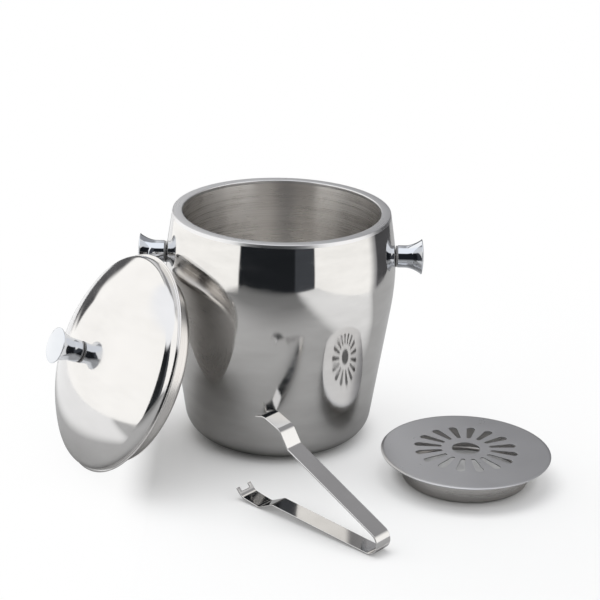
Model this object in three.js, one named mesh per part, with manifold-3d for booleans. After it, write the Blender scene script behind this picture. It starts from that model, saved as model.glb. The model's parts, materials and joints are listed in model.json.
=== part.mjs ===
// Ice bucket with a lift-off lid, a drainer and a pair of sprung tongs, in millimetres, +Z up.
// Origin: centre of the bucket's flat base. +X runs along the two side knobs.
// The lid leans on the bucket, and the drainer and the tongs lie in front of it.
import * as THREE from 'three';
import { mergeVertices } from 'three/addons/utils/BufferGeometryUtils.js';
import Module from 'manifold-3d';

const wasm = await Module();
wasm.setup();

const DEG = Math.PI / 180;

// Resolution and fits
const ROUND_BIG = 40;          // facets round a large turned piece
const ROUND_SMALL = 20;        // facets round a knob
const ROUND_SCREW = 12;
const GAP = 0.3;               // clearance between touching pieces
const SHEET = 1.0;             // sheet steel thickness

// Bucket body
const RIM_HEIGHT = 204.6;
const RIM_THICK = 3;
const RIM_EDGE = 1.4;          // edge rounding of the rim ring
const BELLY_RADIUS = 100;
const BELLY_HEIGHT = 154;
const LOWER_SLOPE = 0.148;     // taper of the wall below the belly
const LOWER_BLEND = 34;        // height over which the belly turns into that taper
const UPPER_SLOPE = 0.155;
const UPPER_BLEND = 28;
const FOOT_RADIUS = 59;        // flat part of the base
const FOOT_FILLET = 24;
const BASE_HOLE = 50;

// Inner liner
const MOUTH_RADIUS = 85.8;
const WELL_FLOOR = 12;
const WELL_FILLET = 20;
const WELL_FLAT = 58;

// Knobs, the same on both sides and on the lid
const KNOB_HEIGHT = 164.2;     // axis of the side knobs above the base
const KNOB_NECK = 9.7;
const KNOB_FLARE = 15.3;
const KNOB_LENGTH = 20.6;
const KNOB_CROWN = 1.7;        // bulge of its end face
const NECK_STRAIGHT = 6.5;
const WASHER_THICK = 1;
const SCREW_RADIUS = 2;
const SCREW_DEPTH = 12;        // thread inside the knob

// Lid
const LID_CENTRE = [-134.6, -67.6, 87.1];
const LID_AZIMUTH = -152.6;
const LID_ELEVATION = 23.8;
const LIP_RADIUS = 95.0;
const LIP_THICK = 1.3;
const DOME_RADIUS = 92.6;
const DOME_HEIGHT = 40.5;
const SHOULDER_RADIUS = 9.5;
const SHOULDER_HEIGHT = 3.8;
const PLUG_RADIUS = 84.2;
const PLUG_DEPTH = 16.4;
const PLUG_FILLET = 4.5;

// Drainer
const DRAINER_PLACE = [160.9, -92.5, 0];
const PLATE_RADIUS = 72.4;
const PLATE_TOP = 25.2;        // at the centre
const PLATE_CROWN = 2.0;       // how much lower it is at the edge
const PLATE_ROLL = 1.2;        // extra drop of the rolled edge
const PLATE_ROLL_WIDTH = 5;
const FINGER_HOLE = 11.9;
const SLOT_COUNT = 16;
const SLOT_INNER = 20.6;
const SLOT_OUTER = 44.2;
const SLOT_NARROW = 1.9;       // half widths at the two ends
const SLOT_WIDE = 3.7;
const RING_RADIUS = 53.9;
const RING_HEIGHT = 22.5;
const RING_FLANGE = 4.3;

// Tongs: one bent strip, in three pieces
const TONGS_PLACE = [77.2, -229.7, 10.2];
const TONGS_AZIMUTH = 139.1;
const TONGS_TILT = 15.2;
const STRIP_WIDTH = 17;
const STRIP_THICK = 1.3;
const BOW_RADIUS = 9.55;       // centre line
const ARM_SPLAY = 11.2;        // degrees each side of the middle
const ARM_STRAIGHT = 97;
const CLAW_LEGS = [             // direction, length and the bend radius before each stretch
  { turn: 42, length: 15, bend: 4 },
  { turn: 6, length: 18.5, bend: 5 },
  { turn: -30, length: 11.5, bend: 8 },
];
const NOTCH_WIDTH = 10;
const NOTCH_DEPTH = 4;

const MATERIALS = {
  polished: new THREE.MeshStandardMaterial({ color: 0xcfcfce, roughness: 0.1, metalness: 1 }),
  brushed: new THREE.MeshStandardMaterial({ color: 0xa9a7a3, roughness: 0.38, metalness: 1 }),
  satin: new THREE.MeshStandardMaterial({ color: 0xb4b4b6, roughness: 0.32, metalness: 1 }),
  chrome: new THREE.MeshStandardMaterial({ color: 0xdcdee2, roughness: 0.05, metalness: 1 }),
  zinc: new THREE.MeshStandardMaterial({ color: 0x9a9c9e, roughness: 0.4, metalness: 1 }),
  gasket: new THREE.MeshStandardMaterial({ color: 0x77777a, roughness: 0.6, metalness: 0 }),
};

// ---- geometry helpers ----

function closedSolid(geometry) {
  geometry.deleteAttribute('normal');
  geometry.deleteAttribute('uv');
  const merged = mergeVertices(geometry, 1e-4);
  const index = merged.index.array;
  const triangles = [];
  for (let i = 0; i < index.length; i += 3) {
    const [a, b, c] = [index[i], index[i + 1], index[i + 2]];
    if (a !== b && b !== c && a !== c) triangles.push(a, b, c);
  }
  const vertProperties = Float32Array.from(merged.attributes.position.array);
  const triVerts = Uint32Array.from(orientedOutwards(vertProperties, triangles));
  return new wasm.Manifold(new wasm.Mesh({ numProp: 3, vertProperties, triVerts }));
}

function orientedOutwards(points, triangles) {
  const corner = (i) => new THREE.Vector3().fromArray(points, 3 * triangles[i]);
  let volume = 0;
  for (let i = 0; i < triangles.length; i += 3) {
    volume += corner(i).dot(corner(i + 1).cross(corner(i + 2)));
  }
  if (volume > 0) return triangles;
  return triangles.slice().reverse();
}

function solidGeometry(solid) {
  const mesh = solid.getMesh();
  const geometry = new THREE.BufferGeometry();
  geometry.setAttribute('position', new THREE.BufferAttribute(mesh.vertProperties, 3));
  geometry.setIndex(new THREE.BufferAttribute(mesh.triVerts, 1));
  geometry.computeVertexNormals();
  return geometry;
}

function piece(name, solid, material) {
  const mesh = new THREE.Mesh(solidGeometry(solid), MATERIALS[material]);
  mesh.name = name;
  return mesh;
}

// A turned solid round +Z from [radius, height] pairs. The profile starts and ends on the axis,
// or it is closed here when it stays clear of the axis.
function turned(profile, segments) {
  const points = profile.map(([radius, height]) => new THREE.Vector2(radius, height));
  if (profile[0][0] > 0) points.push(points[0].clone());
  const geometry = new THREE.LatheGeometry(points, segments);
  geometry.rotateX(Math.PI / 2);
  return closedSolid(geometry);
}

function arcPoints(cx, cy, radius, fromDeg, toDeg, steps) {
  const points = [];
  for (let i = 0; i <= steps; i += 1) {
    const angle = (fromDeg + ((toDeg - fromDeg) * i) / steps) * DEG;
    points.push([cx + radius * Math.cos(angle), cy + radius * Math.sin(angle)]);
  }
  return points;
}

function sampled(from, to, steps, pointAt) {
  const points = [];
  for (let i = 0; i <= steps; i += 1) points.push(pointAt(from + ((to - from) * i) / steps));
  return points;
}

function cylinder(radius, length, segments) {
  const geometry = new THREE.CylinderGeometry(radius, radius, length, segments);
  return geometry.rotateX(Math.PI / 2);
}

function extruded(outline, depth) {
  const shape = new THREE.Shape(outline.map(([x, y]) => new THREE.Vector2(x, y)));
  return new THREE.ExtrudeGeometry(shape, { depth, bevelEnabled: false, steps: 1 });
}

// ---- bucket ----

function wallRadius(height) {
  const below = BELLY_HEIGHT - height;
  if (below >= 0) {
    if (below < LOWER_BLEND) return BELLY_RADIUS - (LOWER_SLOPE * below * below) / (2 * LOWER_BLEND);
    return BELLY_RADIUS - LOWER_SLOPE * (below - LOWER_BLEND / 2);
  }
  const above = -below;
  if (above < UPPER_BLEND) return BELLY_RADIUS - (UPPER_SLOPE * above * above) / (2 * UPPER_BLEND);
  return BELLY_RADIUS - UPPER_SLOPE * (above - UPPER_BLEND / 2);
}

// The wall's line at a given distance inside the outer face, from the base up
function wallLine(inset) {
  const fillet = arcPoints(FOOT_RADIUS, FOOT_FILLET, FOOT_FILLET - inset, -90, -4, 5);
  const top = RIM_HEIGHT - RIM_THICK - GAP;
  const blendStart = BELLY_HEIGHT - LOWER_BLEND;
  const blendEnd = BELLY_HEIGHT + UPPER_BLEND;
  const belly = sampled(blendStart, blendEnd, 5, (z) => [wallRadius(z) - inset, z]);
  return [...fillet, [wallRadius(34) - inset, 34], ...belly, [wallRadius(top) - inset, top]];
}

function outerShell() {
  const outside = [[BASE_HOLE, 0], ...wallLine(0)];
  const inside = [[BASE_HOLE, SHEET], ...wallLine(SHEET)].reverse();
  let shell = turned([...outside, ...inside], ROUND_BIG);
  const drill = cylinder(SCREW_RADIUS + GAP, 2.5 * BELLY_RADIUS, ROUND_SCREW);
  drill.rotateY(Math.PI / 2);
  drill.translate(0, 0, KNOB_HEIGHT);
  shell = shell.subtract(closedSolid(drill));
  return piece('outer_shell', shell, 'polished');
}

function innerLiner() {
  const top = RIM_HEIGHT - RIM_THICK - GAP;
  const corner = (inset) => arcPoints(
    WELL_FLAT, WELL_FLOOR + WELL_FILLET, WELL_FILLET - inset, -90, 0, 5);
  const outside = [[0, WELL_FLOOR], ...corner(0), [MOUTH_RADIUS + SHEET, top]];
  const inside = [[0, WELL_FLOOR + SHEET], ...corner(SHEET), [MOUTH_RADIUS, top]].reverse();
  return piece('inner_liner', turned([...outside, ...inside], ROUND_BIG), 'brushed');
}

function rimRing() {
  const top = RIM_HEIGHT - RIM_EDGE;
  const outer = wallRadius(RIM_HEIGHT);
  const profile = [
    [MOUTH_RADIUS, RIM_HEIGHT - RIM_THICK],
    [outer + UPPER_SLOPE * RIM_THICK, RIM_HEIGHT - RIM_THICK],
    ...arcPoints(outer - RIM_EDGE, top, RIM_EDGE, 0, 90, 3),
    ...arcPoints(MOUTH_RADIUS + RIM_EDGE, top, RIM_EDGE, 90, 180, 3),
  ];
  return piece('rim_ring', turned(profile, ROUND_BIG), 'satin');
}

function baseCap() {
  const lap = SHEET + GAP;
  const edge = BASE_HOLE - GAP;
  const profile = [
    [0, 0],
    [edge, 0],
    [edge, lap],
    [edge + 4, lap],
    [edge + 4, lap + SHEET],
    [edge - SHEET, lap + SHEET],
    [edge - SHEET, SHEET],
    [0, SHEET],
  ];
  return piece('base_cap', turned(profile, ROUND_BIG), 'satin');
}

// ---- knobs ----

function knobSolid() {
  const bore = SCREW_RADIUS + GAP;
  const flare = (z) => {
    const along = (z - NECK_STRAIGHT) / (KNOB_LENGTH - NECK_STRAIGHT);
    return [KNOB_NECK + (KNOB_FLARE - KNOB_NECK) * along ** 1.9, z];
  };
  const crownRadius = (KNOB_FLARE ** 2 + KNOB_CROWN ** 2) / (2 * KNOB_CROWN);
  const crownAngle = Math.asin(KNOB_FLARE / crownRadius) / DEG;
  const crownCentre = KNOB_LENGTH + 0.5 + KNOB_CROWN - crownRadius;
  const crown = arcPoints(0, crownCentre, crownRadius, 90 - crownAngle, 90, 3);
  crown[crown.length - 1][0] = 0;
  return turned([
    [0, SCREW_DEPTH + 1],
    [bore, SCREW_DEPTH + 1],
    [bore, 0],
    [KNOB_NECK - 0.3, 0],
    [KNOB_NECK, 0.4],
    ...sampled(NECK_STRAIGHT, KNOB_LENGTH, 6, flare),
    ...crown,
  ], ROUND_SMALL);
}

function washerSolid() {
  const hole = SCREW_RADIUS + GAP;
  return turned([
    [hole, 0],
    [KNOB_NECK - 0.4, 0],
    [KNOB_NECK - 0.4, WASHER_THICK],
    [hole, WASHER_THICK],
  ], ROUND_SMALL);
}

// A pan-head screw whose head's seat is at height 0 and whose thread points up
function screwSolid(length) {
  return turned([
    [0, -2.4],
    [2.6, -2.4],
    [3.8, -1.4],
    [3.8, 0],
    [SCREW_RADIUS, 0],
    [SCREW_RADIUS, length],
    [0, length],
  ], ROUND_SCREW);
}

// Washer, knob and screw along +Z, standing on a sheet whose outer face is at height 0
function knobSet(prefix, sheet) {
  const group = new THREE.Group();
  const washer = piece(`${prefix}_washer`, washerSolid(), 'gasket');
  washer.position.z = GAP;
  const knob = piece(`${prefix}_knob`, knobSolid(), 'chrome');
  knob.position.z = washer.position.z + WASHER_THICK + GAP;
  const seat = -(sheet + 2 * GAP);
  const screw = piece(`${prefix}_screw`, screwSolid(knob.position.z + SCREW_DEPTH - seat), 'zinc');
  screw.position.z = seat;
  group.add(washer, knob, screw);
  return group;
}

function sideKnob(prefix, side) {
  const group = knobSet(prefix, SHEET);
  group.rotation.y = (side * Math.PI) / 2;
  group.position.set(side * wallRadius(KNOB_HEIGHT), 0, KNOB_HEIGHT);
  return group;
}

// ---- lid ----

const domeCentre = DOME_RADIUS - SHOULDER_RADIUS;
const domeRise = DOME_HEIGHT - SHOULDER_HEIGHT;
const domeSphere = (domeCentre ** 2 + domeRise ** 2 - SHOULDER_RADIUS ** 2)
  / (2 * (domeRise - SHOULDER_RADIUS));
const domeBlend = Math.atan2(domeSphere - domeRise, domeCentre) / DEG;

function domeLine(inset) {
  const hole = SCREW_RADIUS + GAP;
  const radius = domeSphere - inset;
  const start = Math.acos(hole / radius) / DEG;
  const cap = arcPoints(0, DOME_HEIGHT - domeSphere, radius, start, domeBlend, 6);
  const shoulder = arcPoints(
    domeCentre, SHOULDER_HEIGHT, SHOULDER_RADIUS - inset, domeBlend, 0, 4);
  return [...cap, ...shoulder.slice(1)];
}

function lidDome() {
  const lip = [
    [DOME_RADIUS, LIP_THICK],
    [LIP_RADIUS, LIP_THICK],
    [LIP_RADIUS, 0],
    [DOME_RADIUS - SHEET, 0],
  ];
  const profile = [...domeLine(0), ...lip, ...domeLine(SHEET).reverse()];
  return piece('lid_dome', turned(profile, ROUND_BIG), 'polished');
}

function lidPan() {
  const corner = (inset) => arcPoints(
    PLUG_RADIUS - PLUG_FILLET, PLUG_FILLET - PLUG_DEPTH, PLUG_FILLET - inset, -90, 0, 3);
  const flange = DOME_RADIUS - SHEET - GAP;
  const profile = [
    [0, -PLUG_DEPTH],
    ...corner(0),
    [PLUG_RADIUS, 0],
    [flange, 0],
    [flange, SHEET],
    [PLUG_RADIUS - SHEET, SHEET],
    ...corner(SHEET).reverse(),
    [0, SHEET - PLUG_DEPTH],
  ];
  return piece('lid_pan', turned(profile, ROUND_BIG), 'satin');
}

function lid() {
  const group = new THREE.Group();
  const knob = knobSet('lid', SHEET);
  knob.position.z = DOME_HEIGHT;
  group.add(lidDome(), lidPan(), knob);
  group.rotation.set(0, (90 - LID_ELEVATION) * DEG, LID_AZIMUTH * DEG, 'ZYX');
  group.position.set(...LID_CENTRE);
  return group;
}

// ---- drainer ----

function plateHeight(radius) {
  const crown = PLATE_CROWN * (radius / PLATE_RADIUS) ** 2;
  const roll = Math.max(0, radius - (PLATE_RADIUS - PLATE_ROLL_WIDTH)) / PLATE_ROLL_WIDTH;
  return PLATE_TOP - crown - PLATE_ROLL * roll * roll;
}

function slotCutter() {
  const tip = SLOT_OUTER - SLOT_WIDE;
  const root = SLOT_INNER + SLOT_NARROW;
  const outline = [
    ...arcPoints(tip, 0, SLOT_WIDE, -80, 80, 4),
    ...arcPoints(root, 0, SLOT_NARROW, 100, 260, 3),
  ];
  return extruded(outline, 2 * PLATE_TOP);
}

function drainerPlate() {
  const radii = [
    ...sampled(FINGER_HOLE, PLATE_RADIUS - PLATE_ROLL_WIDTH, 3, (r) => r),
    PLATE_RADIUS - PLATE_ROLL_WIDTH / 2,
    PLATE_RADIUS,
  ];
  const top = radii.map((r) => [r, plateHeight(r)]);
  const underside = radii.map((r) => [r, plateHeight(r) - SHEET]).reverse();
  let plate = turned([...top, ...underside], ROUND_BIG);
  for (let i = 0; i < SLOT_COUNT; i += 1) {
    const cutter = slotCutter().rotateZ(((i + 0.5) * 2 * Math.PI) / SLOT_COUNT);
    plate = plate.subtract(closedSolid(cutter));
  }
  return piece('drainer_plate', plate, 'satin');
}

function drainerRing() {
  const foot = 1.6;
  const profile = [
    [RING_RADIUS - RING_FLANGE, 0],
    ...arcPoints(RING_RADIUS - foot, foot, foot, -90, 0, 3),
    [RING_RADIUS, RING_HEIGHT],
    [RING_RADIUS - RING_FLANGE, RING_HEIGHT],
    [RING_RADIUS - RING_FLANGE, RING_HEIGHT - SHEET],
    [RING_RADIUS - SHEET, RING_HEIGHT - SHEET],
    [RING_RADIUS - SHEET, foot],
    [RING_RADIUS - foot, SHEET],
    [RING_RADIUS - RING_FLANGE, SHEET],
  ];
  return piece('drainer_ring', turned(profile, ROUND_BIG), 'brushed');
}

function drainer() {
  const group = new THREE.Group();
  group.add(drainerPlate(), drainerRing());
  group.position.set(...DRAINER_PLACE);
  return group;
}

// ---- tongs ----

// The arm's centre line from the bow outwards, as points with the direction at each
function armLine() {
  const heading = ARM_SPLAY * DEG;
  const cursor = {
    x: -BOW_RADIUS * Math.sin(heading),
    y: BOW_RADIUS * Math.cos(heading),
    heading,
  };
  const line = [];
  const mark = () => line.push({ ...cursor });
  const walk = (distance) => {
    cursor.x += distance * Math.cos(cursor.heading);
    cursor.y += distance * Math.sin(cursor.heading);
  };
  walk(GAP);
  mark();
  walk(ARM_STRAIGHT);
  for (const leg of CLAW_LEGS) {
    const turn = leg.turn * DEG - cursor.heading;
    const steps = 3;
    mark();
    for (let i = 0; i < steps; i += 1) {
      cursor.heading += turn / (2 * steps);
      walk((leg.bend * Math.abs(turn)) / steps);
      cursor.heading += turn / (2 * steps);
      mark();
    }
    walk(leg.length - leg.bend * Math.abs(turn));
  }
  mark();
  return line;
}

function stripOutline(line) {
  const edge = (side) => line.map(({ x, y, heading }) => [
    x - side * (STRIP_THICK / 2) * Math.sin(heading),
    y + side * (STRIP_THICK / 2) * Math.cos(heading),
  ]);
  return [...edge(1), ...edge(-1).reverse()];
}

function strip(outline) {
  return extruded(outline, STRIP_WIDTH).translate(0, 0, -STRIP_WIDTH / 2);
}

function tongsArm(name, side) {
  const line = armLine();
  const end = line[line.length - 1];
  const arm = closedSolid(strip(stripOutline(line)));
  const notch = new THREE.BoxGeometry(2 * NOTCH_DEPTH, 6 * STRIP_THICK, NOTCH_WIDTH);
  notch.rotateZ(end.heading);
  notch.translate(end.x, end.y, 0);
  const mesh = piece(name, arm.subtract(closedSolid(notch)), 'polished');
  if (side < 0) mesh.rotation.x = Math.PI;
  return mesh;
}

function tongsBow() {
  const from = 90 + ARM_SPLAY;
  const to = 360 - from;
  const outline = [
    ...arcPoints(0, 0, BOW_RADIUS + STRIP_THICK / 2, from, to, 14),
    ...arcPoints(0, 0, BOW_RADIUS - STRIP_THICK / 2, to, from, 14),
  ];
  return piece('tongs_bow', closedSolid(strip(outline)), 'polished');
}

function tongs() {
  const inPlane = new THREE.Group();
  inPlane.rotation.z = TONGS_TILT * DEG;
  inPlane.add(tongsBow(), tongsArm('tongs_upper_arm', 1), tongsArm('tongs_lower_arm', -1));
  const upright = new THREE.Group();
  upright.rotation.x = Math.PI / 2;
  upright.add(inPlane);
  const group = new THREE.Group();
  group.rotation.z = TONGS_AZIMUTH * DEG;
  group.position.set(...TONGS_PLACE);
  group.add(upright);
  return group;
}

// ---- assembly ----

const iceBucket = new THREE.Group();
iceBucket.add(outerShell(), innerLiner(), rimRing(), baseCap());
iceBucket.add(sideKnob('right', 1), sideKnob('left', -1));
iceBucket.add(lid());
iceBucket.add(drainer());
iceBucket.add(tongs());

export default iceBucket;
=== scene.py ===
"""Looks of the ice bucket set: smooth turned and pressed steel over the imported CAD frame."""
import json
import math

import bmesh
import bpy
from mathutils import Matrix, Vector


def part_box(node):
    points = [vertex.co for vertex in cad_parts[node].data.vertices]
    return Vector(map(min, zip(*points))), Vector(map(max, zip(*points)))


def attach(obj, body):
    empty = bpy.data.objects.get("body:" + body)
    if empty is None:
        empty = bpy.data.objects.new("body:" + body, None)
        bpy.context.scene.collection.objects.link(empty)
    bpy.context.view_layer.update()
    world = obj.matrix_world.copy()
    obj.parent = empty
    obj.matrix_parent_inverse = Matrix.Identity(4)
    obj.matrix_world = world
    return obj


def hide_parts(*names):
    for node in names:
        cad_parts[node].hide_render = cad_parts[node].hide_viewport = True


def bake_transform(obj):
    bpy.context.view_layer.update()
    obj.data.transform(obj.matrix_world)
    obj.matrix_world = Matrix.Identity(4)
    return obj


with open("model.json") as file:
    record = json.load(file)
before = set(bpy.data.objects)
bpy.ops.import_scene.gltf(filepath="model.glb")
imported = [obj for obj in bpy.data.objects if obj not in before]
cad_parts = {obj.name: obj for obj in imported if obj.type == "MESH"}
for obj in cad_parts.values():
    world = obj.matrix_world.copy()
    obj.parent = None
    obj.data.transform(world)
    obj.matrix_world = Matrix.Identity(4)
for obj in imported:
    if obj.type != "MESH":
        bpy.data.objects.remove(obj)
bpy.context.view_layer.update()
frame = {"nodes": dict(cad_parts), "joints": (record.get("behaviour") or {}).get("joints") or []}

MM = 0.001

# ---- sizes, in metres, from the frame where it holds them ----

SHELL_LOW, SHELL_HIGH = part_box("outer_shell")
RIM_LOW, RIM_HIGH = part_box("rim_ring")
CAP_LOW, CAP_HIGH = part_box("base_cap")
LINER_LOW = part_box("inner_liner")[0]
PLATE_LOW, PLATE_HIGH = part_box("drainer_plate")
RING_LOW, RING_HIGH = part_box("drainer_ring")
KNOB_BOX_LOW, KNOB_BOX_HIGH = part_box("right_knob")

SHEET = 1.0 * MM
BELLY_RADIUS = (SHELL_HIGH.x - SHELL_LOW.x) / 2
RIM_HEIGHT = RIM_HIGH.z
RIM_BOTTOM = RIM_LOW.z
BELLY_HEIGHT = 154 * MM
LOWER_SLOPE = 0.148
LOWER_BLEND = 34 * MM
UPPER_SLOPE = 0.155
UPPER_BLEND = 28 * MM
FOOT_RADIUS = 59 * MM
FOOT_FILLET = 24 * MM
BASE_HOLE = 50 * MM

MOUTH_RADIUS = 85.8 * MM
WELL_FLOOR = LINER_LOW.z
WELL_FILLET = 20 * MM
WELL_FLAT = 58 * MM
RIM_EDGE_OUT = 0.9 * MM
RIM_EDGE_IN = 0.9 * MM

KNOB_HEIGHT = (KNOB_BOX_HIGH.z + KNOB_BOX_LOW.z) / 2
KNOB_FLARE = (KNOB_BOX_HIGH.z - KNOB_BOX_LOW.z) / 2
KNOB_NECK = 9.7 * MM
KNOB_LENGTH = 20.6 * MM
KNOB_CROWN = 1.7 * MM
NECK_STRAIGHT = 6.5 * MM
WASHER_GAP = 0.3 * MM
WASHER_THICK = 1.0 * MM

LID_JOINT = next(j for j in frame["joints"] if j["name"] == "lid_lift")
LID_AXIS = Vector(LID_JOINT["axis"]).normalized()
LID_CENTRE = Vector((-134.6, -67.6, 87.1)) * MM
LIP_RADIUS = 95.0 * MM
LIP_THICK = 1.3 * MM
DOME_RADIUS = 92.6 * MM
DOME_HEIGHT = 40.5 * MM
SHOULDER_RADIUS = 9.5 * MM
SHOULDER_HEIGHT = 3.8 * MM
PLUG_RADIUS = 84.2 * MM
PLUG_DEPTH = 16.4 * MM
PLUG_FILLET = 4.5 * MM

DRAINER_AT = Vector(((PLATE_LOW.x + PLATE_HIGH.x) / 2, (PLATE_LOW.y + PLATE_HIGH.y) / 2, 0))
PLATE_RADIUS = (PLATE_HIGH.x - PLATE_LOW.x) / 2
PLATE_TOP = PLATE_HIGH.z
PLATE_CROWN = 2.0 * MM
PLATE_ROLL = 0.7 * MM
PLATE_ROLL_WIDTH = 3 * MM
FINGER_HOLE = 11.9 * MM
SLOT_COUNT = 16
SLOT_INNER = 20.6 * MM
SLOT_OUTER = 44.2 * MM
SLOT_NARROW = 1.9 * MM
SLOT_WIDE = 3.7 * MM
RING_RADIUS = (RING_HIGH.x - RING_LOW.x) / 2
RING_HEIGHT = RING_HIGH.z
RING_FLANGE = 4.3 * MM

ARM_JOINT = next(j for j in frame["joints"] if j["name"] == "lower_arm_squeeze")
BOW_CENTRE = Vector(ARM_JOINT["pos_m"])
STRIP_AXIS = Vector(ARM_JOINT["axis"]).normalized()
TONGS_TILT = math.radians(15.2)
STRIP_WIDTH = 17 * MM
STRIP_THICK = 1.3 * MM
BOW_RADIUS = 9.55 * MM
ARM_SPLAY = math.radians(11.2)
ARM_STRAIGHT = 97.3 * MM
CLAW_LEGS = [
    # direction in degrees, length and the bend radius before each stretch
    (42, 14.6 * MM, 4.5 * MM),
    (6, 18.3 * MM, 8 * MM),
    (-30, 11.5 * MM, 9 * MM),
]
NOTCH_WIDTH = 10 * MM
NOTCH_DEPTH = 4 * MM

SMOOTH_ANGLE = math.radians(32)
ROUND = 256

# ---- stage: table, soft boxes round the set and the camera ----

TABLE_SIDE, TABLE_FRONT, TABLE_BACK = 0.5, -0.75, 3.2
TABLE_TOP = -0.0004
# painted light: the white glow grows from SHADE_START to full white at SHADE_END round SHADE_CENTRE
SHADE_CENTRE = Vector((0.10, -0.08, 0.0))
SHADE_START, SHADE_END = 0.12, 0.62
# share of painted light, a plain white glow mixed into the table: in front of the bucket, behind it,
# beside the lid (there it lifts the lid's shadow)
PAINTED_GLOW_FRONT, PAINTED_GLOW_BACK, PAINTED_GLOW_LID = 0.2, 0.62, 0.92
# painted shade: share of glow left under the drainer ring and round the bucket's foot
PAINTED_SHADE_UNDER = 0.1
# painted light and shade in the table's colour as the steel mirrors it: middle, front and the brighter
# sides
MIRRORED_PAINTED_MIDDLE, MIRRORED_PAINTED_SHADE_FRONT, MIRRORED_PAINTED_SHEEN_SIDES = 0.40, 0.18, 0.8

# light of each part of the room, and the directions in degrees: 0 is the front, positive to the right
BOX_LIGHT = (1.22, 1.21, 1.19)
CEILING_LIGHT = (1.12, 1.14, 1.18)
FRONT_DARK = (0.016, 0.018, 0.021)
FRONT_DIM = (0.065, 0.07, 0.08)
CORNER_GREY = (0.085, 0.085, 0.09)
LINE_GREY = (0.12, 0.12, 0.125)
HORIZON_GREY = (0.11, 0.11, 0.115)
BACK_LEFT, BACK_RIGHT = (0.86, 0.86, 0.87), (0.34, 0.34, 0.35)

CAMERA_PLACE = (0.0, -1.4932, 0.6904)
CAMERA_TURN = (0.673, 20.854, 1.474)    # yaw, pitch down and roll, in degrees
FOCAL_SHARE = 1818.1 / 600.0            # focal length over the picture's width
SENSOR = 36.0


# ---- mesh helpers ----

def arc(cx, cy, radius, start, end, steps):
    """Points on an arc, angles in degrees."""
    points = []
    for i in range(steps + 1):
        a = math.radians(start + (end - start) * i / steps)
        points.append((cx + radius * math.cos(a), cy + radius * math.sin(a)))
    return points


def sampled(start, end, steps, point_at):
    return [point_at(start + (end - start) * i / steps) for i in range(steps + 1)]


def finish_mesh(bm, name, matrix=None, smooth_angle=SMOOTH_ANGLE):
    """Turns a bmesh into an object with smooth faces and sharp edges where it bends hard."""
    bm.normal_update()
    for face in bm.faces:
        face.smooth = True
    for edge in bm.edges:
        if len(edge.link_faces) == 2 and edge.calc_face_angle(0) > smooth_angle:
            edge.smooth = False
    if matrix is not None:
        bm.transform(matrix)
    mesh = bpy.data.meshes.new(name)
    bm.to_mesh(mesh)
    bm.free()
    piece = bpy.data.objects.new(name, mesh)
    bpy.context.scene.collection.objects.link(piece)
    return piece


def turned(name, profile, matrix=None, seam=90, segments=ROUND):
    """A turned piece round its own Z. Its UV map is in metres: u round the axis, v along the outline."""
    bm = bmesh.new()
    uv = bm.loops.layers.uv.new("metres")
    rings = []
    for radius, height in profile:
        if radius < 1e-7:
            rings.append([bm.verts.new((0, 0, height))])
            continue
        ring = []
        for i in range(segments):
            a = math.radians(seam) + 2 * math.pi * i / segments
            ring.append(bm.verts.new((radius * math.cos(a), radius * math.sin(a), height)))
        rings.append(ring)
    lengths = [0.0]
    for (r0, z0), (r1, z1) in zip(profile, profile[1:]):
        lengths.append(lengths[-1] + math.hypot(r1 - r0, z1 - z0))
    reach = max(radius for radius, _ in profile)
    closed = profile[0][0] > 1e-7 and profile[-1][0] > 1e-7
    count = len(rings) if closed else len(rings) - 1
    for k in range(count):
        turned_band(bm, uv, rings, lengths, reach, k, segments)
    bmesh.ops.recalc_face_normals(bm, faces=bm.faces)
    return finish_mesh(bm, name, matrix)


def turned_band(bm, uv, rings, lengths, reach, k, segments):
    """The faces between outline point k and the next."""
    nxt = (k + 1) % len(rings)
    low, high = rings[k], rings[nxt]
    v_low = lengths[k]
    v_high = lengths[nxt] if nxt else lengths[k] + 1 * MM
    for i in range(segments):
        j = (i + 1) % segments
        u0 = 2 * math.pi * reach * i / segments
        u1 = 2 * math.pi * reach * (i + 1) / segments
        corners = []
        if len(low) > 1:
            corners += [(low[i], u0, v_low), (low[j], u1, v_low)]
        else:
            corners += [(low[0], (u0 + u1) / 2, v_low)]
        if len(high) > 1:
            corners += [(high[j], u1, v_high), (high[i], u0, v_high)]
        else:
            corners += [(high[0], (u0 + u1) / 2, v_high)]
        if len(corners) < 3:
            continue
        face = bm.faces.new([c[0] for c in corners])
        for loop, corner in zip(face.loops, corners):
            loop[uv].uv = (corner[1], corner[2])


def dress(piece, material, body, slot, *nodes):
    """Gives a piece its material and its body, and hides the CAD nodes it stands for; slot is not used.
    """
    piece.data.materials.append(material)
    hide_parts(*nodes)
    if body:
        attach(piece, body)
    return piece


# ---- node helpers ----

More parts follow.
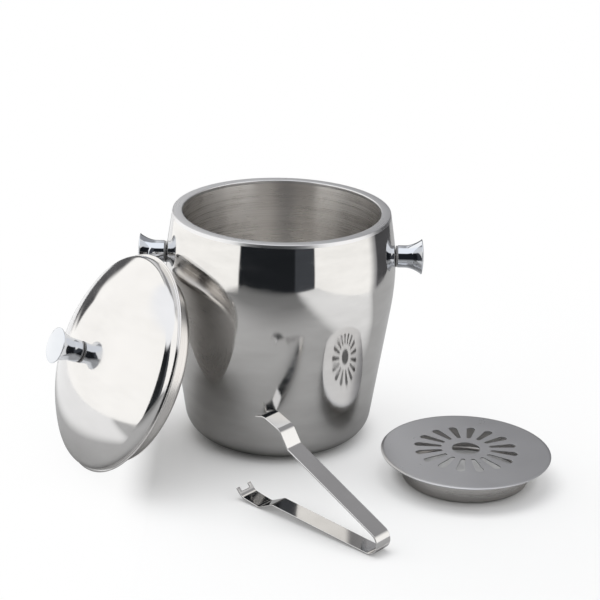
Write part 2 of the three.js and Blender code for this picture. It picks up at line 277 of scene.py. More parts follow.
class Graph:
    """A small writer for shader node trees."""

    def __init__(self, tree):
        self.tree = tree
        self.nodes = tree.nodes
        self.nodes.clear()

    def add(self, kind, **settings):
        node = self.nodes.new(kind)
        for key, value in settings.items():
            setattr(node, key, value)
        return node

    def feed(self, socket, value):
        if isinstance(value, bpy.types.NodeSocket):
            self.tree.links.new(value, socket)
        else:
            socket.default_value = value

    def math(self, operation, a, b=0.0):
        node = self.add("ShaderNodeMath", operation=operation)
        self.feed(node.inputs[0], a)
        self.feed(node.inputs[1], b)
        return node.outputs[0]

    def ramp(self, value, low, high, to_low=0.0, to_high=1.0):
        """Smooth step of a value between two limits."""
        node = self.add("ShaderNodeMapRange", interpolation_type="SMOOTHSTEP")
        self.feed(node.inputs["Value"], value)
        self.feed(node.inputs["From Min"], low)
        self.feed(node.inputs["From Max"], high)
        self.feed(node.inputs["To Min"], to_low)
        self.feed(node.inputs["To Max"], to_high)
        return node.outputs["Result"]

    def mix(self, factor, a, b):
        node = self.add("ShaderNodeMix", data_type="RGBA")
        self.feed(node.inputs["Factor"], factor)
        self.feed(node.inputs["A"], a)
        self.feed(node.inputs["B"], b)
        return node.outputs["Result"]

    def noise(self, vector, scale, detail=3.0, rough=0.5):
        node = self.add("ShaderNodeTexNoise")
        self.feed(node.inputs["Vector"], vector)
        self.feed(node.inputs["Scale"], scale)
        self.feed(node.inputs["Detail"], detail)
        self.feed(node.inputs["Roughness"], rough)
        return node.outputs["Fac"]

    def stretched(self, vector, scale):
        node = self.add("ShaderNodeMapping")
        self.feed(node.inputs["Vector"], vector)
        node.inputs["Scale"].default_value = scale
        return node.outputs["Vector"]

    def bump(self, height, strength, distance, normal=None):
        node = self.add("ShaderNodeBump")
        node.inputs["Strength"].default_value = strength
        node.inputs["Distance"].default_value = distance
        self.feed(node.inputs["Height"], height)
        if normal is not None:
            self.feed(node.inputs["Normal"], normal)
        return node.outputs["Normal"]


def rgba(r, g, b):
    return (r, g, b, 1.0)


def metal_base(name, metallic=1.0):
    """A material with its shader and output, ready for the details."""
    material = bpy.data.materials.new(name)
    material.use_nodes = True
    graph = Graph(material.node_tree)
    shader = graph.add("ShaderNodeBsdfPrincipled")
    shader.inputs["Metallic"].default_value = metallic
    out = graph.add("ShaderNodeOutputMaterial")
    graph.feed(out.inputs["Surface"], shader.outputs["BSDF"])
    where = graph.add("ShaderNodeTexCoord")
    return material, graph, shader, where


# ---- materials ----

def follow_turning(graph, shader, along):
    """Spreads reflections across fine turning lines that run round the piece."""
    shader.inputs["Anisotropic"].default_value = along
    shader.inputs["Anisotropic Rotation"].default_value = 0.25
    tangent = graph.add("ShaderNodeTangent", direction_type="UV_MAP", uv_map="metres")
    graph.feed(shader.inputs["Tangent"], tangent.outputs["Tangent"])


def polished_steel(name, light, dark, clean, hazy, grain=0.02, along=0.0):
    """Mirror-polished steel: faint haze, wiping marks and hairline scratches."""
    material, graph, shader, where = metal_base(name)
    place = where.outputs["Object"]
    cloud = graph.noise(place, 14.0, 4.0, 0.55)
    wipe = graph.noise(graph.stretched(place, (9.0, 9.0, 32.0)), 3.0, 3.0)
    haze = graph.ramp(graph.math("MULTIPLY", cloud, wipe), 0.16, 0.42)
    tone = graph.ramp(graph.math("ADD", cloud, wipe), 0.5, 1.5)
    graph.feed(shader.inputs["Base Color"], graph.mix(tone, rgba(*dark), rgba(*light)))
    graph.feed(shader.inputs["Roughness"], graph.ramp(haze, 0.0, 1.0, clean, hazy))
    hair = graph.noise(graph.stretched(where.outputs["UV"], (60.0, 5200.0, 1.0)), 1.0, 2.0, 0.6)
    wave = graph.noise(place, 22.0, 1.0)
    soft = graph.bump(wave, 0.12, 0.15 * MM)
    graph.feed(shader.inputs["Normal"], graph.bump(hair, grain, 0.05 * MM, soft))
    if along:
        follow_turning(graph, shader, along)
    return material


def brushed_steel(name, light, dark, low, high, lines, depth, along):
    """Steel brushed round its axis: fine lines, with streaks of a coarser brush."""
    material, graph, shader, where = metal_base(name)
    uv = where.outputs["UV"]
    fine = graph.noise(graph.stretched(uv, (9.0, lines, 1.0)), 1.0, 4.0, 0.65)
    streak = graph.noise(graph.stretched(uv, (3.0, lines / 9, 1.0)), 1.0, 3.0, 0.6)
    patch = graph.noise(where.outputs["Object"], 18.0, 3.0)
    both = graph.math("ADD", graph.math("MULTIPLY", fine, 0.6), graph.math("MULTIPLY", streak, 0.4))
    shade = graph.ramp(both, 0.3, 0.7)
    graph.feed(shader.inputs["Base Color"], graph.mix(shade, rgba(*dark), rgba(*light)))
    rough = graph.math("ADD", graph.math("MULTIPLY", both, 0.6), graph.math("MULTIPLY", patch, 0.4))
    graph.feed(shader.inputs["Roughness"], graph.ramp(rough, 0.3, 0.7, low, high))
    graph.feed(shader.inputs["Normal"], graph.bump(both, depth, 0.08 * MM))
    if along:
        follow_turning(graph, shader, along)
    return material


def satin_steel(name, light, dark, low, high):
    """Fine satin finish without a strong direction, a little worn in patches."""
    material, graph, shader, where = metal_base(name)
    place = where.outputs["Object"]
    grain = graph.noise(place, 2600.0, 3.0, 0.7)
    lines = graph.noise(graph.stretched(where.outputs["UV"], (30.0, 1800.0, 1.0)), 1.0, 3.0)
    patch = graph.noise(place, 30.0, 4.0, 0.6)
    tone = graph.math("ADD", graph.math("MULTIPLY", patch, 0.7), graph.math("MULTIPLY", lines, 0.3))
    graph.feed(shader.inputs["Base Color"], graph.mix(tone, rgba(*dark), rgba(*light)))
    graph.feed(shader.inputs["Roughness"], graph.ramp(tone, 0.3, 0.7, low, high))
    relief = graph.math("ADD", graph.math("MULTIPLY", grain, 0.5), graph.math("MULTIPLY", lines, 0.5))
    graph.feed(shader.inputs["Normal"], graph.bump(relief, 0.05, 0.05 * MM))
    return material


def dull_plastic(name, light, dark):
    """Matt grey gasket with a moulded grain."""
    material, graph, shader, where = metal_base(name, 0.0)
    place = where.outputs["Object"]
    grain = graph.noise(place, 900.0, 3.0)
    patch = graph.noise(place, 120.0, 2.0)
    graph.feed(shader.inputs["Base Color"], graph.mix(patch, rgba(*dark), rgba(*light)))
    graph.feed(shader.inputs["Roughness"], graph.ramp(grain, 0.3, 0.7, 0.45, 0.65))
    graph.feed(shader.inputs["Normal"], graph.bump(grain, 0.2, 0.05 * MM))
    return material


BODY_STEEL = polished_steel(
    "polished_body", (0.76, 0.75, 0.735), (0.64, 0.63, 0.615), 0.05, 0.13, 0.03, 0.7)
LID_STEEL = polished_steel(
    "polished_lid", (0.775, 0.765, 0.755), (0.71, 0.70, 0.69), 0.08, 0.15, 0.02, 0.5)
TONGS_STEEL = polished_steel("polished_tongs", (0.78, 0.77, 0.76), (0.71, 0.70, 0.69), 0.05, 0.11)
CHROME = polished_steel("chrome_plate", (0.72, 0.745, 0.785), (0.68, 0.705, 0.745), 0.02, 0.06, 0.01)
LINER_STEEL = brushed_steel(
    "brushed_liner", (0.90, 0.88, 0.855), (0.68, 0.66, 0.64), 0.22, 0.33, 1500.0, 0.42, 0.9)
BAND_STEEL = brushed_steel(
    "brushed_band", (0.80, 0.775, 0.75), (0.68, 0.66, 0.64), 0.24, 0.34, 1500.0, 0.12, 0.0)
PLATE_STEEL = satin_steel("satin_plate", (0.71, 0.71, 0.72), (0.63, 0.63, 0.64), 0.27, 0.35)
RIM_STEEL = satin_steel("satin_rim", (0.78, 0.78, 0.785), (0.72, 0.72, 0.725), 0.26, 0.34)
ZINC = satin_steel("dull_zinc", (0.55, 0.56, 0.58), (0.45, 0.46, 0.47), 0.35, 0.5)
GASKET = dull_plastic("grey_gasket", (0.34, 0.34, 0.345), (0.27, 0.27, 0.275))


# ---- bucket ----

def wall_radius(z):
    """Outer radius of the bucket's wall: two straight tapers joined by a rounded belly."""
    below = BELLY_HEIGHT - z
    slope, blend = (LOWER_SLOPE, LOWER_BLEND) if below >= 0 else (UPPER_SLOPE, UPPER_BLEND)
    away = abs(below)
    if away < blend:
        return BELLY_RADIUS - slope * away * away / (2 * blend)
    return BELLY_RADIUS - slope * (away - blend / 2)


def wall_line(inset):
    fillet = arc(FOOT_RADIUS, FOOT_FILLET, FOOT_FILLET - inset, -90, -6, 18)
    start = fillet[-1][1] + 4 * MM
    wall = sampled(start, RIM_BOTTOM, 56, lambda z: (wall_radius(z) - inset, z))
    return fillet + wall


def bucket_shell():
    outside = [(BASE_HOLE, 0.0)] + wall_line(0.0)
    inside = [(BASE_HOLE, SHEET)] + wall_line(SHEET)
    piece = turned("outer_shell_skin", outside + inside[::-1])
    return dress(piece, BODY_STEEL, "bucket", "polished_steel", "outer_shell")


def well_corner(inset):
    return arc(WELL_FLAT, WELL_FLOOR + WELL_FILLET, WELL_FILLET - inset, -90, 0, 16)


def bucket_liner():
    wall_low = WELL_FLOOR + WELL_FILLET

    def inner_wall(z):
        share = (z - wall_low) / (RIM_BOTTOM - wall_low)
        foot = WELL_FLAT + WELL_FILLET - SHEET
        return (foot + (MOUTH_RADIUS - foot) * share, z)

    outside = [(0.0, WELL_FLOOR)] + well_corner(0.0) + [(MOUTH_RADIUS + SHEET, RIM_BOTTOM)]
    inside = [(0.0, WELL_FLOOR + SHEET), (WELL_FLAT / 2, WELL_FLOOR + SHEET)]
    inside += well_corner(SHEET) + sampled(wall_low, RIM_BOTTOM, 24, inner_wall)[1:]
    piece = turned("inner_liner_skin", outside + inside[::-1], seam=-90)
    return dress(piece, LINER_STEEL, "bucket", "brushed_steel", "inner_liner")


def bucket_rim():
    outer = wall_radius(RIM_HEIGHT)
    lower = wall_radius(RIM_BOTTOM)
    outer_edge = arc(outer - RIM_EDGE_OUT, RIM_HEIGHT - RIM_EDGE_OUT, RIM_EDGE_OUT, 0, 90, 10)
    inner_edge = arc(MOUTH_RADIUS + RIM_EDGE_IN, RIM_HEIGHT - RIM_EDGE_IN, RIM_EDGE_IN, 90, 180, 8)
    profile = [(MOUTH_RADIUS, RIM_BOTTOM), (lower, RIM_BOTTOM)] + outer_edge + inner_edge
    piece = turned("rim_ring_skin", profile)
    return dress(piece, RIM_STEEL, "bucket", "satin_steel", "rim_ring")


def bucket_base_cap():
    edge = (CAP_HIGH.x - CAP_LOW.x) / 2 - 4 * MM
    lap = CAP_HIGH.z - SHEET
    profile = [(0.0, 0.0)] + arc(edge - 0.6 * MM, 0.6 * MM, 0.6 * MM, -90, 0, 4)
    profile += [(edge, lap), (edge + 4 * MM, lap), (edge + 4 * MM, lap + SHEET)]
    profile += [(edge - SHEET, lap + SHEET), (edge - SHEET, SHEET), (0.0, SHEET)]
    piece = turned("base_cap_skin", profile)
    return dress(piece, BAND_STEEL, "bucket", "satin_steel", "base_cap")


# ---- knobs ----

def knob_profile():
    def flare(z):
        along = (z - NECK_STRAIGHT) / (KNOB_LENGTH - NECK_STRAIGHT)
        return (KNOB_NECK + (KNOB_FLARE - 0.35 * MM - KNOB_NECK) * along ** 1.9, z)

    edge = arc(KNOB_FLARE - 0.5 * MM, KNOB_LENGTH + 0.3 * MM, 0.5 * MM, -60, 60, 8)
    rise = KNOB_CROWN - 0.2 * MM
    sphere = (KNOB_FLARE ** 2 + rise ** 2) / (2 * rise)
    start = math.degrees(math.acos((KNOB_FLARE - 0.4 * MM) / sphere))
    centre = KNOB_LENGTH + 0.5 * MM + KNOB_CROWN - sphere
    crown = arc(0.0, centre, sphere, start, 90, 16)
    crown[-1] = (0.0, crown[-1][1])
    profile = [(0.0, 0.3 * MM), (KNOB_NECK - 0.5 * MM, 0.0)]
    profile += arc(KNOB_NECK - 0.4 * MM, 0.4 * MM, 0.4 * MM, -80, 0, 5)
    profile += sampled(NECK_STRAIGHT, KNOB_LENGTH, 28, flare) + edge + crown
    return profile


def washer_profile():
    outer = KNOB_NECK - 0.35 * MM
    edge = arc(outer - 0.3 * MM, 0.3 * MM, 0.3 * MM, -90, 0, 4)
    edge += arc(outer - 0.3 * MM, WASHER_THICK - 0.3 * MM, 0.3 * MM, 0, 90, 4)
    return [(3 * MM, 0.0)] + edge + [(3 * MM, WASHER_THICK)]


def knob_set(prefix, matrix, body):
    """Washer and knob standing on a face at height 0 of the matrix, and the CAD screw's finish."""
    washer_at = matrix @ Matrix.Translation((0, 0, WASHER_GAP))
    washer = turned(f"{prefix}_washer_skin", washer_profile(), washer_at, segments=96)
    dress(washer, GASKET, body, "gasket", f"{prefix}_washer")
    knob_at = matrix @ Matrix.Translation((0, 0, 2 * WASHER_GAP + WASHER_THICK))
    knob = turned(f"{prefix}_knob_skin", knob_profile(), knob_at, segments=128)
    dress(knob, CHROME, body, "chrome_knob", f"{prefix}_knob")
    screw = frame["nodes"][f"{prefix}_screw"]
    screw.data.materials.clear()
    screw.data.materials.append(ZINC)


def side_knobs():
    reach = wall_radius(KNOB_HEIGHT)
    for prefix, side in (("right", 1), ("left", -1)):
        matrix = Matrix.Translation((side * reach, 0, KNOB_HEIGHT))
        matrix = matrix @ Matrix.Rotation(side * math.pi / 2, 4, "Y")
        knob_set(prefix, matrix, "bucket")


# ---- lid ----

def lid_matrix():
    turn = LID_AXIS.to_track_quat("Z", "Y").to_matrix().to_4x4()
    return Matrix.Translation(LID_CENTRE) @ turn


def dome_line(inset):
    """The dome's outline from the axis to the skirt: a wide sphere and a rounded shoulder."""
    centre = DOME_RADIUS - SHOULDER_RADIUS
    rise = DOME_HEIGHT - SHOULDER_HEIGHT
    sphere = (centre ** 2 + rise ** 2 - SHOULDER_RADIUS ** 2) / (2 * (rise - SHOULDER_RADIUS))
    blend = math.degrees(math.atan2(sphere - rise, centre))
    cap = arc(0.0, DOME_HEIGHT - sphere, sphere - inset, 90, blend, 40)
    cap[0] = (0.0, cap[0][1])
    shoulder = arc(centre, SHOULDER_HEIGHT, SHOULDER_RADIUS - inset, blend, 0, 20)
    return cap + shoulder[1:]


def lid_dome():
    roll = LIP_THICK / 2
    lip = [(DOME_RADIUS, LIP_THICK + 0.3 * MM), (DOME_RADIUS + 0.3 * MM, LIP_THICK)]
    lip += arc(LIP_RADIUS - roll, roll, roll, 90, -90, 10)
    lip += [(DOME_RADIUS - SHEET, 0.0)]
    piece = turned("lid_dome_skin", dome_line(0.0) + lip + dome_line(SHEET)[::-1], lid_matrix())
    return dress(piece, LID_STEEL, "lid", "polished_steel", "lid_dome")


def lid_pan():
    def corner(inset):
        centre = PLUG_RADIUS - PLUG_FILLET
        return arc(centre, PLUG_FILLET - PLUG_DEPTH, PLUG_FILLET - inset, -90, 0, 10)

    flange = DOME_RADIUS - SHEET - 0.1 * MM
    profile = [(0.0, -PLUG_DEPTH), (PLUG_RADIUS / 2, -PLUG_DEPTH)] + corner(0.0)
    profile += sampled(PLUG_FILLET - PLUG_DEPTH + 1 * MM, -0.4 * MM, 6, lambda z: (PLUG_RADIUS, z))
    profile += [(PLUG_RADIUS + 0.4 * MM, 0.0), (flange, 0.0), (flange, SHEET)]
    profile += [(PLUG_RADIUS - SHEET, SHEET)] + corner(SHEET)[::-1] + [(0.0, SHEET - PLUG_DEPTH)]
    piece = turned("lid_pan_skin", profile, lid_matrix())
    return dress(piece, BAND_STEEL, "lid", "satin_steel", "lid_pan")


def lid():
    lid_dome()
    lid_pan()
    knob_set("lid", lid_matrix() @ Matrix.Translation((0, 0, DOME_HEIGHT)), "lid")


# ---- drainer ----

def plate_height(radius):
    crown = PLATE_CROWN * (radius / PLATE_RADIUS) ** 2
    roll = max(0.0, radius - (PLATE_RADIUS - PLATE_ROLL_WIDTH)) / PLATE_ROLL_WIDTH
    return PLATE_TOP - crown - PLATE_ROLL * roll * roll


def slot_half_width(radius):
    """Half the width of a slot at a radius: a taper with round ends."""
    root, tip = SLOT_INNER + SLOT_NARROW, SLOT_OUTER - SLOT_WIDE
    if radius <= SLOT_INNER or radius >= SLOT_OUTER:
        return 0.0
    if radius < root:
        return math.sqrt(max(0.0, SLOT_NARROW ** 2 - (root - radius) ** 2))
    if radius > tip:
        return math.sqrt(max(0.0, SLOT_WIDE ** 2 - (radius - tip) ** 2))
    return SLOT_NARROW + (SLOT_WIDE - SLOT_NARROW) * (radius - root) / (tip - root)


def plate_stations():
    """Radii of the plate's rings, closer together round the ends of the slots."""
    root, tip = SLOT_INNER + SLOT_NARROW, SLOT_OUTER - SLOT_WIDE
    stations = sampled(FINGER_HOLE, SLOT_INNER, 5, lambda r: r)[:-1]
    for i in range(9):
        stations.append(root - SLOT_NARROW * math.cos(math.pi / 2 * i / 8))
    stations += sampled(root, tip, 10, lambda r: r)[1:-1]
    for i in range(13):
        stations.append(tip + SLOT_WIDE * math.sin(math.pi / 2 * i / 12))
    stations += sampled(SLOT_OUTER, PLATE_RADIUS - PLATE_ROLL_WIDTH, 8, lambda r: r)[1:]
    stations += sampled(PLATE_RADIUS - PLATE_ROLL_WIDTH, PLATE_RADIUS, 8, lambda r: r)[1:]
    return stations


def plate_point(radius, sector, side, share):
    """A point between a slot's edge (share 0) and the middle of the land beside it (share 1)."""
    middle = (sector + 0.5) * 2 * math.pi / SLOT_COUNT
    edge = math.asin(min(1.0, slot_half_width(radius) / radius))
    spread = edge + (math.pi / SLOT_COUNT - edge) * share
    a = middle + side * spread
    return (radius * math.cos(a), radius * math.sin(a), plate_height(radius))


def drainer_plate():
    across = 5
    bm = bmesh.new()
    uv = bm.loops.layers.uv.new("metres")
    stations = plate_stations()
    for sector in range(SLOT_COUNT):
        for side in (-1, 1):
            rows = [
                [bm.verts.new(plate_point(r, sector, side, k / across)) for k in range(across + 1)]
                for r in stations
            ]
            for low, high in zip(rows, rows[1:]):
                for k in range(across):
                    quad = [low[k], low[k + 1], high[k + 1], high[k]]
                    face = bm.faces.new(quad if side < 0 else quad[::-1])
                    for loop in face.loops:
                        x, y = loop.vert.co.x, loop.vert.co.y
                        loop[uv].uv = (math.atan2(y, x) * PLATE_RADIUS, math.hypot(x, y))
    bmesh.ops.remove_doubles(bm, verts=bm.verts, dist=0.01 * MM)
    bmesh.ops.recalc_face_normals(bm, faces=bm.faces)
    if sum(face.normal.z for face in bm.faces) < 0:
        bmesh.ops.reverse_faces(bm, faces=bm.faces)
    piece = finish_mesh(bm, "drainer_plate_skin", Matrix.Translation(DRAINER_AT))
    thicken(piece, SHEET, -1.0, 0.22 * MM)
    return dress(piece, PLATE_STEEL, "drainer", "satin_steel", "drainer_plate")


def thicken(piece, thickness, offset, edge):
    """Gives an open sheet its thickness and softly broken edges."""
    solid = piece.modifiers.new("thickness", "SOLIDIFY")
    solid.thickness = thickness
    solid.offset = offset
    bevel = piece.modifiers.new("edges", "BEVEL")
    bevel.width = edge
    bevel.segments = 2
    bevel.limit_method = "ANGLE"
    bevel.angle_limit = math.radians(50)
    normals = piece.modifiers.new("normals", "WEIGHTED_NORMAL")
    normals.keep_sharp = False


def drainer_ring():
    foot = 1.8 * MM
    top = RING_HEIGHT + 0.2 * MM
    inner = RING_RADIUS - RING_FLANGE
    profile = [(inner, 0.0)] + arc(RING_RADIUS - foot, foot, foot, -90, 0, 8)
    profile += sampled(4 * MM, top - 1 * MM, 5, lambda z: (RING_RADIUS, z))
    profile += [(RING_RADIUS - 0.5 * MM, top), (inner, top), (inner, top - SHEET)]
    profile += [(RING_RADIUS - SHEET, top - SHEET), (RING_RADIUS - SHEET, foot)]
    profile += [(RING_RADIUS - foot, SHEET), (inner, SHEET)]
    piece = turned("drainer_ring_skin", profile, Matrix.Translation(DRAINER_AT))
    return dress(piece, BAND_STEEL, "drainer", "brushed_steel", "drainer_ring")


# ---- tongs ----

def tongs_matrix():
    """Local X along the tongs' middle, Y across the opening, Z along the strip's width."""
    level = Vector((-STRIP_AXIS.y, STRIP_AXIS.x, 0)).normalized()
    x = level * math.cos(TONGS_TILT) + Vector((0, 0, 1)) * math.sin(TONGS_TILT)
    z = STRIP_AXIS
    y = z.cross(x)
    matrix = Matrix((x, y, z)).transposed().to_4x4()
    return Matrix.Translation(BOW_CENTRE) @ matrix


def half_strip_line():
    """Centre line of half the strip, from the back of the bow to the tip: (x, y, distance)."""
    line = []
    quarter = math.pi / 2 - ARM_SPLAY
    steps = 28
    for i in range(steps + 1):
        a = math.pi - quarter * i / steps
        line.append((BOW_RADIUS * math.cos(a), BOW_RADIUS * math.sin(a)))
    heading = ARM_SPLAY
    x, y = line[-1]

    def walk(distance, pieces):
        nonlocal x, y
        for _ in range(pieces):
            x += distance / pieces * math.cos(heading)
            y += distance / pieces * math.sin(heading)
            line.append((x, y))

    walk(ARM_STRAIGHT, 24)
    for k, (degrees, length, bend) in enumerate(CLAW_LEGS):
        turn = math.radians(degrees) - heading
        steps = 10
        for _ in range(steps):
            heading += turn / (2 * steps)
            walk(bend * abs(turn) / steps, 1)
            heading += turn / (2 * steps)
        rest = length - bend * abs(turn)
        if k == len(CLAW_LEGS) - 1:
            walk(rest - NOTCH_DEPTH, 3)
            walk(NOTCH_DEPTH, 2)
        else:
            walk(rest, 4)
    return line


def strip_columns():
    half = STRIP_WIDTH / 2
    notch = NOTCH_WIDTH / 2
    return [-half, -half + 0.4 * MM, -notch, -notch / 3, notch / 3, notch, half - 0.4 * MM, half]


def half_strip(name, side):
    """Half of the bent strip as a sheet with a notched end."""
    bm = bmesh.new()
    uv = bm.loops.layers.uv.new("metres")
    line = half_strip_line()
    columns = strip_columns()
    rows = [[bm.verts.new((x, side * y, z)) for z in columns] for x, y in line]
    along = [0.0]
    for a, b in zip(line, line[1:]):
        along.append(along[-1] + math.hypot(b[0] - a[0], b[1] - a[1]))
    for i in range(len(rows) - 1):
        for k in range(len(columns) - 1):
            in_notch = abs(columns[k] + columns[k + 1]) / 2 < NOTCH_WIDTH / 2
            if i >= len(rows) - 3 and in_notch:
                continue
            face = bm.faces.new([rows[i][k], rows[i][k + 1], rows[i + 1][k + 1], rows[i + 1][k]])
            marks = [(along[i], columns[k]), (along[i], columns[k + 1]),
                     (along[i + 1], columns[k + 1]), (along[i + 1], columns[k])]
            for loop, mark in zip(face.loops, marks):
                loop[uv].uv = mark
    loose = [v for v in bm.verts if not v.link_faces]
    bmesh.ops.delete(bm, geom=loose, context="VERTS")
    bmesh.ops.recalc_face_normals(bm, faces=bm.faces)
    piece = finish_mesh(bm, name, tongs_matrix(), math.radians(60))
    thicken(piece, STRIP_THICK, 0.0, 0.3 * MM)
    return piece


def tongs():
    upper = half_strip("tongs_upper_half", 1)
    dress(upper, TONGS_STEEL, None, "polished_steel", "tongs_upper_arm", "tongs_bow")
    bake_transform(upper)
    lower = half_strip("tongs_lower_half", -1)
    dress(lower, TONGS_STEEL, None, "polished_steel", "tongs_lower_arm")
    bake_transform(lower)


# ---- stage, light and camera ----

def clear_of(graph, where, centre, low, high):
    """0 under a round piece standing at a point of the table, 1 well away from it."""
    offset = graph.add("ShaderNodeVectorMath", operation="SUBTRACT")
    graph.feed(offset.inputs[0], where)
    offset.inputs[1].default_value = (centre.x, centre.y, 0.0)
    away = graph.add("ShaderNodeVectorMath", operation="LENGTH")
    graph.feed(away.inputs[0], offset.outputs["Vector"])
    return graph.ramp(away.outputs["Value"], low, high)


def floor_seen(graph, where):
    """What the camera sees: soft shadows near the pieces mixed with painted light, a white glow set by
    place, lifted beside the lid and cut to painted shade under the drainer ring and round the bucket's
    foot, fading to white further out.
    """
    matt = graph.add("ShaderNodeBsdfDiffuse")
    matt.inputs["Color"].default_value = rgba(0.79, 0.79, 0.785)
    # painted light: this emission makes the table glow white
    white = graph.add("ShaderNodeEmission")
    parts = graph.add("ShaderNodeSeparateXYZ")
    graph.feed(parts.inputs[0], where)
    # painted light: the glow grows to full white away from the pieces, washing out their shadows
    spread = clear_of(graph, where, SHADE_CENTRE, SHADE_START, SHADE_END)
    share = graph.add("ShaderNodeMix", data_type="FLOAT")
    graph.feed(share.inputs["Factor"], spread)
    x, y = parts.outputs["X"], parts.outputs["Y"]
    # painted light: more glow behind the bucket than in front of it
    behind = graph.math("MULTIPLY", graph.ramp(y, -0.20, 0.02), graph.ramp(x, -0.04, 0.08))
    # painted light beside the lid, which lifts the lid's shadow
    painted_light_beside_lid = graph.ramp(x, -0.09, -0.135, 0.0, PAINTED_GLOW_LID)
    near = graph.ramp(behind, 0.0, 1.0, PAINTED_GLOW_FRONT, PAINTED_GLOW_BACK)
    graph.feed(share.inputs["A"], graph.math("MAXIMUM", near, painted_light_beside_lid))
    share.inputs["B"].default_value = 1.0
    # painted shade: the glow is cut under the drainer ring and round the bucket's foot, fixed on the
    # table
    under = graph.math(
        "MULTIPLY",
        clear_of(graph, where, DRAINER_AT, RING_RADIUS - 4 * MM, RING_RADIUS + 16 * MM),
        clear_of(graph, where, Vector(), FOOT_RADIUS, FOOT_RADIUS + FOOT_FILLET + 20 * MM))
    outside_painted_shade = graph.ramp(under, 0.0, 1.0, PAINTED_SHADE_UNDER, 1.0)
    seen = graph.add("ShaderNodeMixShader")
    graph.feed(seen.inputs[0], graph.math("MULTIPLY", share.outputs["Result"], outside_painted_shade))
    graph.feed(seen.inputs[1], matt.outputs["BSDF"])
    graph.feed(seen.inputs[2], white.outputs["Emission"])
    return seen.outputs["Shader"]


def floor_mirrored(graph, where):
    """What the steel mirrors: painted light and shade in the table's colour, a darker middle and front,
    painted brighter at the sides where the soft boxes would light the table.
    """
    parts = graph.add("ShaderNodeSeparateXYZ")
    graph.feed(parts.inputs[0], where)
    x, y = parts.outputs["X"], parts.outputs["Y"]
    # painted light: brighter sides where the soft boxes would light the table
    left = graph.math("MULTIPLY", graph.ramp(x, -0.17, -0.30), graph.ramp(y, -0.30, -0.18))
    right = graph.math("MULTIPLY", graph.ramp(x, 0.10, 0.30), graph.ramp(y, 0.14, -0.04))
    # painted shade: a darker middle, darker still towards the front
    centre = graph.ramp(y, -0.24, -0.50, MIRRORED_PAINTED_MIDDLE, MIRRORED_PAINTED_SHADE_FRONT)
    tone = graph.ramp(graph.math("MAXIMUM", left, right), 0.0, 1.0, 0.0, MIRRORED_PAINTED_SHEEN_SIDES)
    dim = graph.add("ShaderNodeBsdfDiffuse")
    graph.feed(dim.inputs["Color"], graph.math("MAXIMUM", centre, tone))
    return dim.outputs["BSDF"]


def floor():
    """A pale table top."""
    bm = bmesh.new()
    corners = [(-TABLE_SIDE, TABLE_FRONT), (TABLE_SIDE, TABLE_FRONT),
               (TABLE_SIDE, TABLE_BACK), (-TABLE_SIDE, TABLE_BACK)]
    bm.faces.new([bm.verts.new((x, y, TABLE_TOP)) for x, y in corners])
    top = finish_mesh(bm, "table_top")
    material = bpy.data.materials.new("table_top")
    material.use_nodes = True
    graph = Graph(material.node_tree)
    where = graph.add("ShaderNodeTexCoord").outputs["Object"]
    # painted light: camera rays see the glowing table, glossy rays the table with painted light and
    # shade in its colour
    path = graph.add("ShaderNodeLightPath")
    choice = graph.add("ShaderNodeMixShader")
    graph.feed(choice.inputs[0], path.outputs["Is Glossy Ray"])
    graph.feed(choice.inputs[1], floor_seen(graph, where))
    graph.feed(choice.inputs[2], floor_mirrored(graph, where))
    out = graph.add("ShaderNodeOutputMaterial")
    graph.feed(out.inputs["Surface"], choice.outputs["Shader"])
    top.data.materials.append(material)


def window(graph, angle, low, high, soft, soft_high=None):
    """1 between two angles in degrees, 0 outside, with soft edges."""
    end = soft if soft_high is None else soft_high
    rise = graph.ramp(angle, math.radians(low - soft), math.radians(low + soft))
    fall = graph.ramp(angle, math.radians(high - end), math.radians(high + end))
    return graph.math("SUBTRACT", rise, fall)


def room(graph, parts, azimuth):
    """Walls of the room: lighter at the back left, soft boxes at both sides, dark in front."""
    across = graph.ramp(parts.outputs["X"], -0.12, 0.12)
    light = graph.mix(across, rgba(*BACK_LEFT), rgba(*BACK_RIGHT))
    light = graph.mix(window(graph, azimuth, -165, -41, 1.0), light, rgba(*BOX_LIGHT))
    light = graph.mix(window(graph, azimuth, 33, 103, 1.5, 7.0), light, rgba(*BOX_LIGHT))
    light = graph.mix(window(graph, azimuth, -41, 33, 1.0), light, rgba(*FRONT_DARK))
    return graph.mix(window(graph, azimuth, 14, 33, 1.0), light, rgba(*FRONT_DIM))


def dark_marks(graph, parts, azimuth, height, light):
    """Low dark things in the room: the right back corner, two lines at the left and the horizon."""
    low_wall = graph.ramp(height, math.radians(20), math.radians(12))
    corner = graph.math("MULTIPLY", window(graph, azimuth, 110, 152, 1.5), low_wall)
    light = graph.mix(corner, light, rgba(*CORNER_GREY))
    light = graph.mix(window(graph, azimuth, -169, -163, 1.0), light, rgba(*LINE_GREY))
    streak = graph.math(
        "MULTIPLY", window(graph, azimuth, -151, -141, 1.0), window(graph, height, -5, 5, 1.5))
    light = graph.mix(streak, light, rgba(*CORNER_GREY))
    horizon = graph.math(
        "MULTIPLY", window(graph, height, -14, 13, 2.0), graph.ramp(parts.outputs["Y"], 0.80, 0.88))
    return graph.mix(horizon, light, rgba(*HORIZON_GREY))


def ceiling(graph, parts, height, light):
    """A bright ceiling, which starts higher up at the back."""
    above = graph.ramp(height, math.radians(44), math.radians(52))
    behind = graph.ramp(parts.outputs["Y"], 0.25, 0.4)
    higher = graph.ramp(height, math.radians(62), math.radians(70))
    reach = graph.math("MAXIMUM", graph.math("SUBTRACT", 1.0, behind), higher)
    return graph.mix(graph.math("MULTIPLY", above, reach), light, rgba(*CEILING_LIGHT))


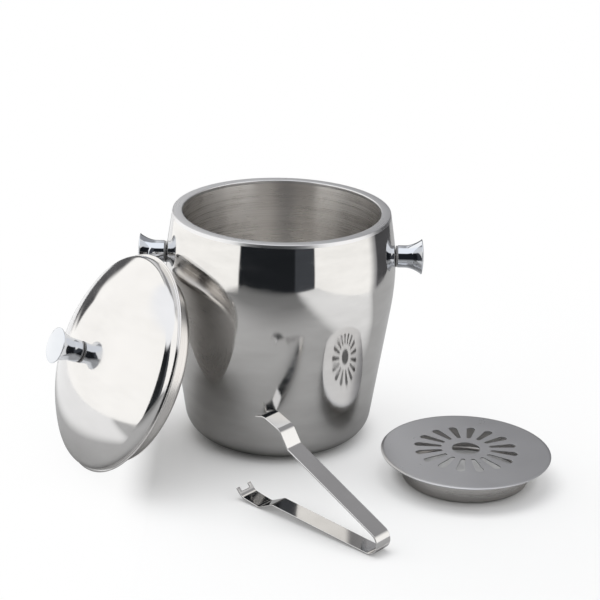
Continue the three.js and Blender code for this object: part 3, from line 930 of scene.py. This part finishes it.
def studio():
    """White behind the object for the camera, and a room of soft boxes for the reflections."""
    world = bpy.data.worlds.new("studio")
    bpy.context.scene.world = world
    world.use_nodes = True
    graph = Graph(world.node_tree)
    where = graph.add("ShaderNodeTexCoord")
    parts = graph.add("ShaderNodeSeparateXYZ")
    graph.feed(parts.inputs[0], where.outputs["Generated"])
    backwards = graph.math("MULTIPLY", parts.outputs["Y"], -1.0)
    azimuth = graph.math("ARCTAN2", parts.outputs["X"], backwards)
    height = graph.math("ARCSINE", parts.outputs["Z"])
    light = room(graph, parts, azimuth)
    light = dark_marks(graph, parts, azimuth, height, light)
    light = ceiling(graph, parts, height, light)
    path = graph.add("ShaderNodeLightPath")
    seen = graph.mix(path.outputs["Is Camera Ray"], light, rgba(1.0, 1.0, 1.0))
    back = graph.add("ShaderNodeBackground")
    graph.feed(back.inputs["Color"], seen)
    out = graph.add("ShaderNodeOutputWorld")
    graph.feed(out.inputs["Surface"], back.outputs["Background"])


def overhead_light():
    lamp = bpy.data.lights.new("overhead", "AREA")
    lamp.shape = "RECTANGLE"
    lamp.size, lamp.size_y = 1.4, 1.0
    lamp.energy = 14
    item = bpy.data.objects.new("overhead", lamp)
    item.location = (-0.2, 0.1, 1.7)
    item.visible_glossy = False
    bpy.context.scene.collection.objects.link(item)


def camera():
    """A long lens a little above the rim, turned by a trace as a hand-held view is."""
    yaw, pitch, roll = (math.radians(a) for a in CAMERA_TURN)
    ahead = Vector((math.sin(yaw) * math.cos(pitch), math.cos(yaw) * math.cos(pitch), -math.sin(pitch)))
    right = Vector((math.cos(yaw), -math.sin(yaw), 0.0))
    up = right.cross(ahead)
    rolled_right = right * math.cos(roll) + up * math.sin(roll)
    rolled_up = up * math.cos(roll) - right * math.sin(roll)
    turn = Matrix((rolled_right, rolled_up, -ahead)).transposed().to_4x4()
    lens = bpy.data.cameras.new("camera")
    lens.sensor_width = SENSOR
    lens.lens = FOCAL_SHARE * SENSOR
    lens.clip_start, lens.clip_end = 0.05, 30.0
    item = bpy.data.objects.new("camera", lens)
    item.matrix_world = Matrix.Translation(CAMERA_PLACE) @ turn
    bpy.context.scene.collection.objects.link(item)
    bpy.context.scene.camera = item


def build():
    camera()
    bucket_shell()
    bucket_liner()
    bucket_rim()
    bucket_base_cap()
    side_knobs()
    lid()
    drainer_plate()
    drainer_ring()
    tongs()
    floor()
    studio()
    overhead_light()
    view = bpy.context.scene.view_settings
    view.view_transform = "Standard"
    view.look = "None"


build()
